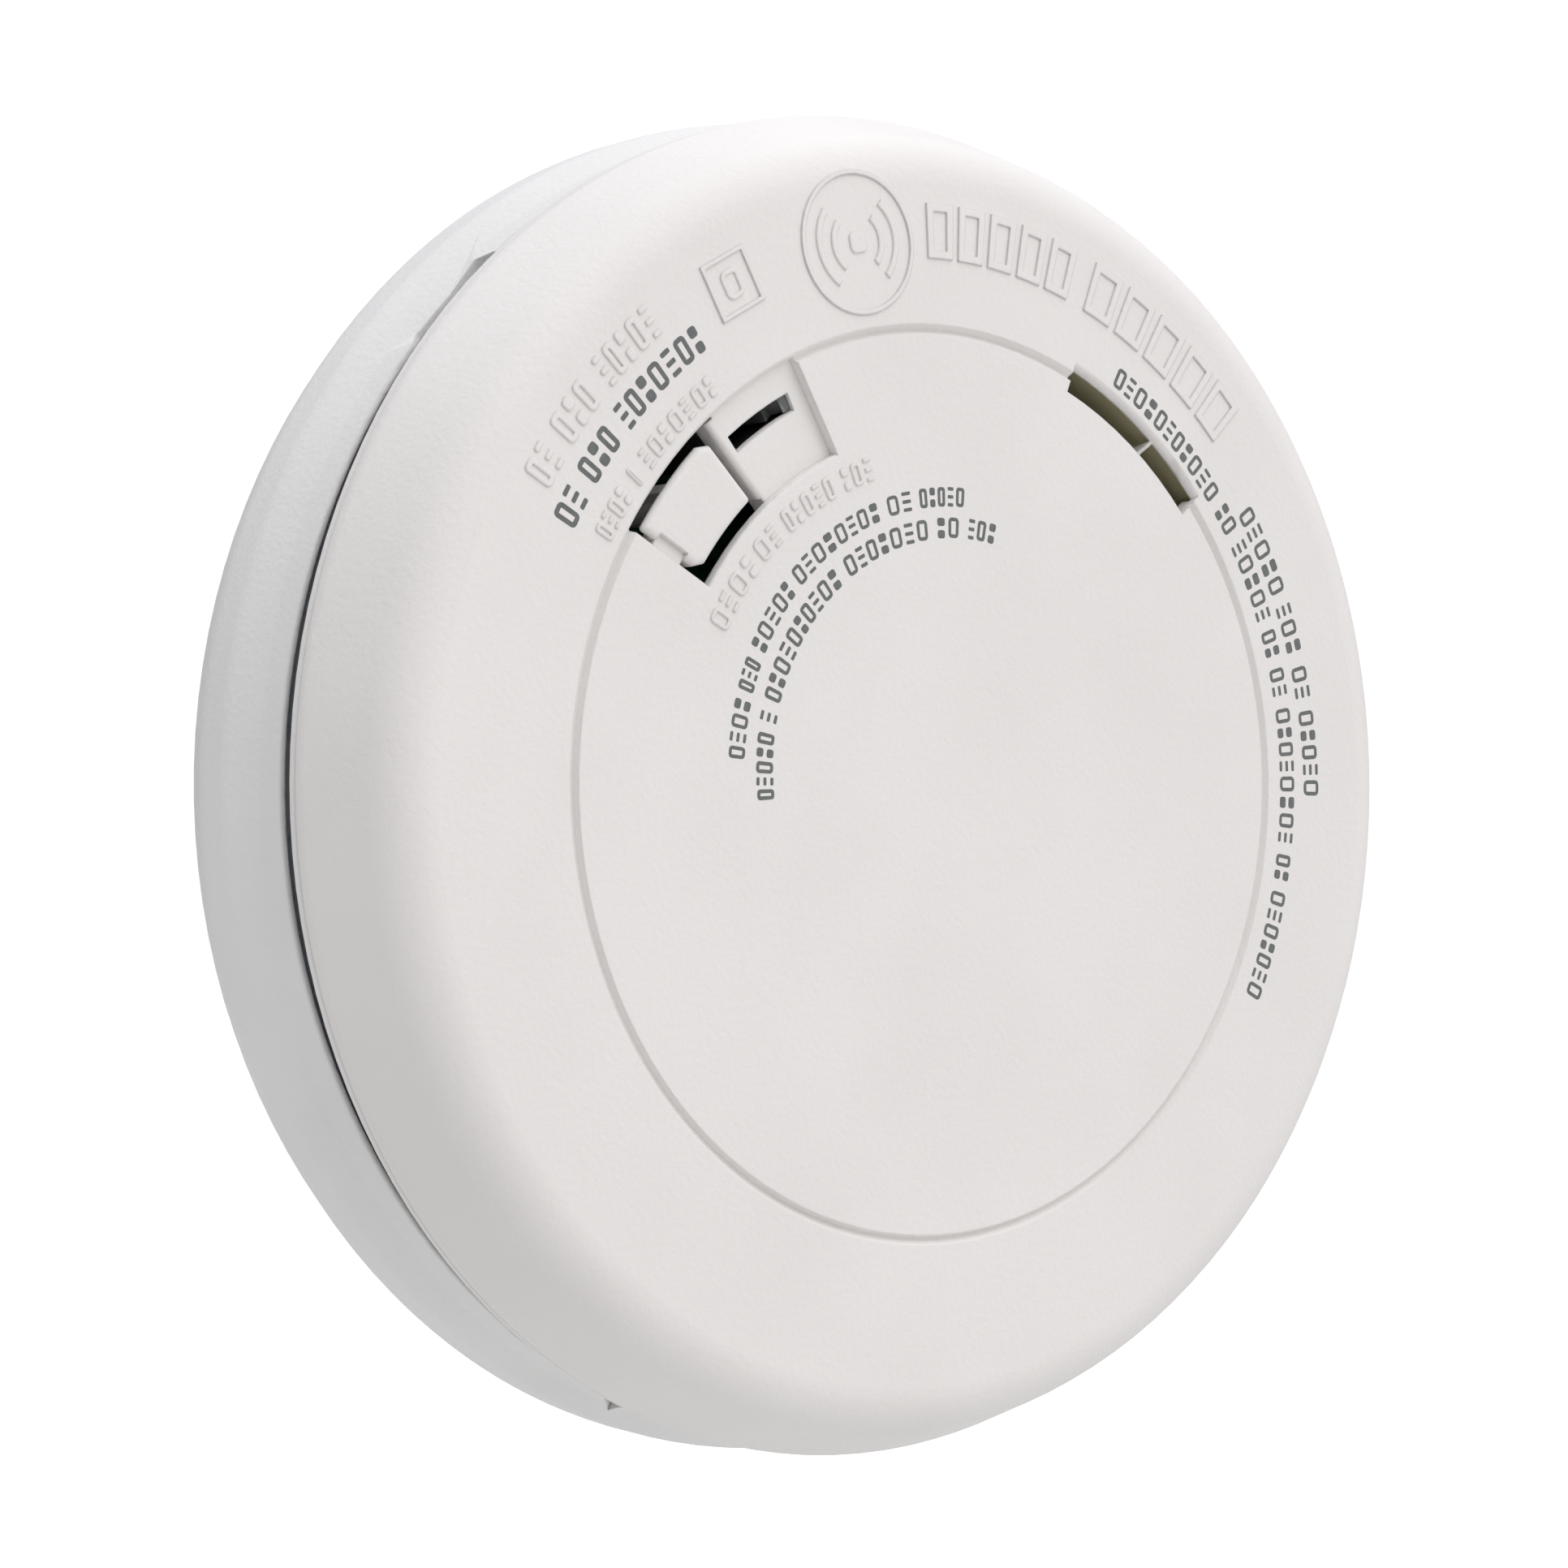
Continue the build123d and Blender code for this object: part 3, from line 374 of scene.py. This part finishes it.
def moulded(name, light, dark, roughness, grain, soft=0.00025, specks=False):
    """Injection-moulded plastic: faint cloudiness, spark-eroded grain and softened edges."""
    look = Look(name)
    colour = look.mix(look.spread(look.noise(45, 3), 0.35, 0.65), light, dark)
    if specks:
        near = look.spread(look.cells(85), 0.012, 0.022, 1.0, 0.0)
        few = look.spread(look.noise(60, 0), 0.60, 0.66)
        colour = look.mix(look.math("MULTIPLY", near, few), colour, (0.30, 0.27, 0.24))
    look.connect(colour, "Base Color")
    rough = look.spread(look.noise(900), 0.3, 0.7, roughness - 0.05, roughness + 0.08)
    look.connect(rough, "Roughness")
    base = look.soft_edges(soft)
    swell = look.bump(look.noise(28, 1), 0.35, 0.0006, base)
    look.connect(look.bump(look.noise(1500, 2), grain, 0.0002, swell), "Normal")
    return look.material


def rolled_metal(name, light, dark, roughness):
    """Plated or rolled metal with fine drawn lines and faint tarnish."""
    look = Look(name)
    colour = look.mix(look.spread(look.noise(180, 4), 0.35, 0.7), light, dark)
    look.connect(colour, "Base Color")
    look.set(Metallic=1.0)
    lines = look.noise(2500, 2, (1, 1, 0.04))
    look.connect(look.spread(lines, 0.3, 0.7, roughness - 0.08, roughness + 0.12), "Roughness")
    look.connect(look.bump(lines, 0.15, 0.00003, look.soft_edges(0.0001)), "Normal")
    return look.material


def clear_plastic(name, tint):
    """Clear moulded plastic with faint flow lines."""
    look = Look(name)
    look.connect(look.mix(look.noise(300), tint, tuple(0.93 * c for c in tint)), "Base Color")
    look.set(Transmission_Weight=0.9, IOR=1.49)
    look.connect(look.spread(look.noise(700), 0.3, 0.7, 0.08, 0.2), "Roughness")
    look.connect(look.bump(look.noise(250, 1), 0.1, 0.0001, look.soft_edges(0.0002)), "Normal")
    return look.material


def printed_ink(name, light, dark):
    """Matt pad-printed ink with slightly worn coverage."""
    look = Look(name)
    colour = look.mix(look.spread(look.noise(2200, 3), 0.35, 0.7), light, dark)
    look.connect(colour, "Base Color")
    look.connect(look.spread(look.noise(1200), 0.3, 0.7, 0.5, 0.7), "Roughness")
    look.connect(look.bump(look.noise(1500, 3), 0.25, 0.00006), "Normal")
    return look.material


def foam(name, light, dark):
    """Open-cell foam, with painted shade in its pores."""
    look = Look(name)
    pores = look.cells(1400)
    # Painted shade: the pits of the pore bump take the darker colour.
    look.connect(look.mix(look.spread(pores, 0.2, 0.7), dark, light), "Base Color")
    look.set(Roughness=0.95)
    look.connect(look.bump(pores, 0.6, 0.0003), "Normal")
    return look.material


def board_laminate(name):
    """Green solder mask with paler tracks running under it."""
    look = Look(name)
    rows = look.spread(look.waves(95, 6.0, "X"), 0.62, 0.68)
    columns = look.spread(look.waves(80, 7.0, "Z"), 0.66, 0.72)
    tracks = look.math("MAXIMUM", rows, columns)
    mask = look.mix(look.noise(60), (0.010, 0.075, 0.028), (0.014, 0.095, 0.036))
    look.connect(look.mix(tracks, mask, (0.030, 0.150, 0.055)), "Base Color")
    look.connect(look.spread(look.noise(400), 0.3, 0.7, 0.3, 0.45), "Roughness")
    look.connect(look.bump(tracks, 0.35, 0.00006, look.soft_edges(0.0001)), "Normal")
    return look.material


def wound_wire(name, light, dark):
    """Enamelled copper wire wound in close turns, with painted shade in the grooves between turns and a
    painted highlight on their crowns.
    """
    look = Look(name)
    turns = look.waves(2600, 0.3, "Y")
    # Painted shade and highlight: the grooves between turns take the darker copper, the crowns of the turns
    # the lighter copper.
    look.connect(look.mix(turns, dark, light), "Base Color")
    look.set(Metallic=0.85, Roughness=0.32)
    look.connect(look.bump(turns, 0.8, 0.0001), "Normal")
    return look.material


def paper_label(name):
    """Blank off-white paper with faint fibres and a few ruled grey lines."""
    look = Look(name)
    lines = look.spread(look.waves(90, 0.0, "Z"), 0.90, 0.93)
    patch = look.spread(look.noise(70, 0), 0.5, 0.53)
    paper = look.mix(look.noise(1200, 4), (0.74, 0.73, 0.70), (0.66, 0.65, 0.62))
    look.connect(look.mix(look.math("MULTIPLY", lines, patch), paper, (0.25, 0.25, 0.26)), "Base Color")
    look.set(Roughness=0.6)
    look.connect(look.bump(look.noise(2500, 4), 0.2, 0.00004), "Normal")
    return look.material


def sintered(name, light, dark, roughness=0.6, scale=1800):
    """Fired ceramic, ferrite or pressed filter: fine grains of two shades."""
    look = Look(name)
    grains = look.cells(scale)
    look.connect(look.mix(look.spread(grains, 0.2, 0.8), light, dark), "Base Color")
    look.connect(look.spread(look.noise(600), 0.3, 0.7, roughness - 0.1, roughness + 0.1), "Roughness")
    look.connect(look.bump(grains, 0.25, 0.00005, look.soft_edges(0.0001)), "Normal")
    return look.material


def sleeved(name, light, dark):
    """Shrink sleeve or wire insulation: smooth, with faint lengthwise ripples."""
    look = Look(name)
    look.connect(look.mix(look.noise(150, 2), light, dark), "Base Color")
    look.connect(look.spread(look.noise(500), 0.3, 0.7, 0.27, 0.45), "Roughness")
    look.connect(look.bump(look.noise(400, 2), 0.2, 0.0001, look.soft_edges(0.0002)), "Normal")
    return look.material


def white_floor(name):
    """Pale studio paper that reads as pure white behind the object."""
    look = Look(name)
    paper = tuple([FLOOR_SHADE] * 3)
    look.connect(look.mix(look.noise(6, 3), paper, tuple(0.95 * c for c in paper)), "Base Color")
    look.set(Roughness=0.9, Emission_Color=(1, 1, 1, 1))
    seen = look.nodes.new("ShaderNodeLightPath").outputs["Is Camera Ray"]
    look.connect(look.spread(seen, 0, 1, FLOOR_GLOW, 1.0), "Emission Strength")
    look.connect(look.bump(look.noise(400, 3), 0.05, 0.0002), "Normal")
    look.clear_from_below()
    return look.material


# ---- looks --------------------------------------------------------------------------------------
def all_looks():
    shell_light, shell_dark = (0.80, 0.775, 0.75), (0.775, 0.75, 0.725)
    shell = moulded("shell_plastic", shell_light, shell_dark, 0.48, 0.34, 0.00035, specks=True)
    return {
        "shell": shell,
        "ring": moulded("ring_plastic", (0.79, 0.78, 0.765), (0.755, 0.745, 0.73), 0.5, 0.45, 0.0004, True),
        "housing": moulded("housing_plastic", (0.74, 0.78, 0.82), (0.68, 0.72, 0.76), 0.5, 0.3),
        "black": moulded("black_plastic", (0.012, 0.012, 0.013), (0.02, 0.02, 0.02), 0.5, 0.2),
        "clear": clear_plastic("light_pipe_clear", (0.86, 0.88, 0.86)),
        "lamp": clear_plastic("lamp_clear", (0.75, 0.88, 0.72)),
        "lens": clear_plastic("dark_lens", (0.06, 0.05, 0.09)),
        "screen": rolled_metal("screen_metal", (0.80, 0.86, 0.94), (0.62, 0.67, 0.74), 0.4),
        "steel": rolled_metal("sensor_steel", (0.62, 0.61, 0.58), (0.50, 0.49, 0.47), 0.28),
        "zinc": rolled_metal("zinc_steel", (0.60, 0.61, 0.62), (0.45, 0.46, 0.48), 0.35),
        "tinned": rolled_metal("tinned_metal", (0.66, 0.65, 0.62), (0.52, 0.51, 0.49), 0.3),
        "brass": rolled_metal("brass_plate", (0.72, 0.53, 0.22), (0.60, 0.43, 0.18), 0.3),
        "horn": moulded("horn_plastic", (0.44, 0.405, 0.26), (0.38, 0.345, 0.21), 0.55, 0.3),
        # The gasket foam's darker colour is painted shade in its pores.
        "foam": foam("gasket_foam", (0.05, 0.05, 0.05), (0.012, 0.012, 0.012)),
        "piezo": sintered("piezo_ceramic", (0.60, 0.58, 0.50), (0.50, 0.48, 0.41)),
        "board": board_laminate("board_laminate"),
        "chip": sintered("chip_ceramic", (0.030, 0.030, 0.032), (0.018, 0.018, 0.020)),
        "ferrite": sintered("coil_ferrite", (0.035, 0.036, 0.040), (0.020, 0.020, 0.024)),
        "filter": sintered("filter_felt", (0.78, 0.78, 0.76), (0.68, 0.68, 0.66), 0.85, 2600),
        "can_sleeve": sleeved("capacitor_sleeve", (0.020, 0.035, 0.10), (0.015, 0.026, 0.075)),
        "cell": sleeved("cell_sleeve", (0.035, 0.10, 0.26), (0.028, 0.085, 0.22)),
        "red": sleeved("red_wire", (0.55, 0.02, 0.018), (0.45, 0.016, 0.014)),
        "dark_wire": sleeved("black_wire", (0.015, 0.015, 0.016), (0.022, 0.022, 0.023)),
        # The winding's lighter copper is a painted highlight on each turn, its darker copper painted shade
        # between turns.
        "winding": wound_wire("copper_winding", (0.60, 0.23, 0.09), (0.30, 0.10, 0.04)),
        "switch": moulded("switch_plastic", (0.035, 0.035, 0.037), (0.05, 0.05, 0.052), 0.4, 0.2),
        "plunger": moulded("plunger_plastic", (0.55, 0.09, 0.03), (0.48, 0.08, 0.027), 0.4, 0.2),
        "knob": moulded("knob_plastic", (0.60, 0.42, 0.05), (0.54, 0.38, 0.045), 0.4, 0.2),
        "label": paper_label("label_paper"),
        "ink": printed_ink("printed_ink", (0.115, 0.125, 0.12), (0.145, 0.155, 0.15)),
    }


NODE_LOOKS = {
    "shell": ("front_cover", "test_button"),
    "housing": ("back_housing",),
    "ring": ("mounting_bracket", "locking_pins"),
    "black": ("light_shroud", "chamber_base", "chamber_cap", "microcontroller", "sensor_amplifier",
              "power_switch"),
    "clear": ("light_pipe",),
    "lamp": ("status_leds",),
    "lens": ("infrared_emitter", "light_receiver"),
    "screen": ("insect_screen", "chamber_screen"),
    "steel": ("gas_sensor_can",),
    "filter": ("gas_sensor_filter",),
    "tinned": ("gas_sensor_pins", "cell_tabs", "piezo_springs"),
    "horn": ("horn_housing", "horn_cap", "sound_duct"),
    "foam": ("horn_gasket", "cell_foam"),
    "brass": ("piezo_plate",),
    "piezo": ("piezo_ceramic",),
    "board": ("circuit_board",),
    "chip": ("chip_components",),
    "can_sleeve": ("capacitors",),
    "ferrite": ("horn_coil",),
    "winding": ("coil_winding",),
    "switch": ("test_switch",),
    "plunger": ("test_plunger",),
    "knob": ("power_slider",),
    "cell": ("lithium_cell",),
    "red": ("positive_lead",),
    "dark_wire": ("negative_lead",),
    "zinc": ("board_screws",),
    "label": ("rating_label",),
}


def dress_nodes(looks):
    """Gives every carried-over CAD node its look."""
    for key, names in NODE_LOOKS.items():
        for name in names:
            made = frame["nodes"][name]
            made.data.materials.clear()
            made.data.materials.append(looks[key])


# ---- studio -------------------------------------------------------------------------------------
def aim(made, towards):
    made.rotation_euler = Vector(towards).to_track_quat("-Z", "Y").to_euler()


def camera():
    data = bpy.data.cameras.new("camera")
    data.lens = CAMERA_LENS
    data.sensor_width = CAMERA_SENSOR
    made = bpy.data.objects.new("camera", data)
    made.location = CAMERA_AT
    aim(made, CAMERA_LOOKS)
    bpy.context.collection.objects.link(made)
    bpy.context.scene.camera = made


def softbox(name, place, size, power):
    """A square soft light that points at the object."""
    data = bpy.data.lights.new(name, "AREA")
    data.size = size
    data.energy = power
    made = bpy.data.objects.new(name, data)
    made.location = place
    aim(made, -Vector(place))
    bpy.context.collection.objects.link(made)


def world():
    """White behind the object; a few soft patches of bright sky light it."""
    made = bpy.data.worlds.new("studio")
    made.use_nodes = True
    nodes, links = made.node_tree.nodes, made.node_tree.links
    direction = nodes.new("ShaderNodeTexCoord").outputs["Generated"]
    light = nodes["Background"]
    total = None
    for towards, colour in SKY_PATCHES:
        patch = sky_patch(nodes, links, direction, towards, colour)
        if total is not None:
            add = nodes.new("ShaderNodeVectorMath")
            add.operation = "ADD"
            links.new(total, add.inputs[0])
            links.new(patch, add.inputs[1])
            patch = add.outputs["Vector"]
        total = patch
    links.new(total, light.inputs["Color"])
    seen = nodes.new("ShaderNodeBackground")
    seen.inputs["Color"].default_value = (1.0, 1.0, 1.0, 1.0)
    seen.inputs["Strength"].default_value = BACKDROP
    path = nodes.new("ShaderNodeLightPath")
    choice = nodes.new("ShaderNodeMixShader")
    links.new(path.outputs["Is Camera Ray"], choice.inputs[0])
    links.new(light.outputs[0], choice.inputs[1])
    links.new(seen.outputs[0], choice.inputs[2])
    links.new(choice.outputs[0], nodes["World Output"].inputs["Surface"])
    bpy.context.scene.world = made


def sky_patch(nodes, links, direction, towards, colour):
    """A soft round patch of light around one direction."""
    toward = nodes.new("ShaderNodeVectorMath")
    toward.operation = "DOT_PRODUCT"
    toward.inputs[1].default_value = Vector(towards).normalized()
    links.new(direction, toward.inputs[0])
    away = nodes.new("ShaderNodeMath")
    away.operation = "MULTIPLY_ADD"
    away.inputs[1].default_value = SKY_SPREAD
    away.inputs[2].default_value = -SKY_SPREAD
    links.new(toward.outputs["Value"], away.inputs[0])
    falloff = nodes.new("ShaderNodeMath")
    falloff.operation = "EXPONENT"
    links.new(away.outputs[0], falloff.inputs[0])
    tint = nodes.new("ShaderNodeVectorMath")
    tint.operation = "SCALE"
    tint.inputs[0].default_value = colour
    links.new(falloff.outputs[0], tint.inputs["Scale"])
    return tint.outputs["Vector"]


def floor():
    data = bpy.data.meshes.new("floor")
    h = FLOOR_HALF
    corners = [(-h, -h, FLOOR_LEVEL), (h, -h, FLOOR_LEVEL), (h, h, FLOOR_LEVEL), (-h, h, FLOOR_LEVEL)]
    data.from_pydata(corners, [], [(0, 1, 2, 3)])
    data.materials.append(white_floor("floor_paper"))
    made = bpy.data.objects.new("floor", data)
    bpy.context.collection.objects.link(made)


def studio():
    world()
    floor()
    camera()
    softbox("near_top", KEY_AT, KEY_SIZE, KEY_POWER)
    view = bpy.context.scene.view_settings
    view.view_transform = "Standard"
    view.look = "None"


# ---- build --------------------------------------------------------------------------------------
looks = all_looks()
dress_nodes(looks)
for name, (radii, height, words) in RAISED_ROWS.items():
    row_of_marks(name, looks["shell"], radii, height, words, RAISED, EDGE)
for name, (radii, height, words) in PRINTED_ROWS.items():
    row_of_marks(name, looks["ink"], radii, height, words, INKED, INK_EDGE)
badge_waves(looks["shell"])
square_mark(looks["shell"])
studio()
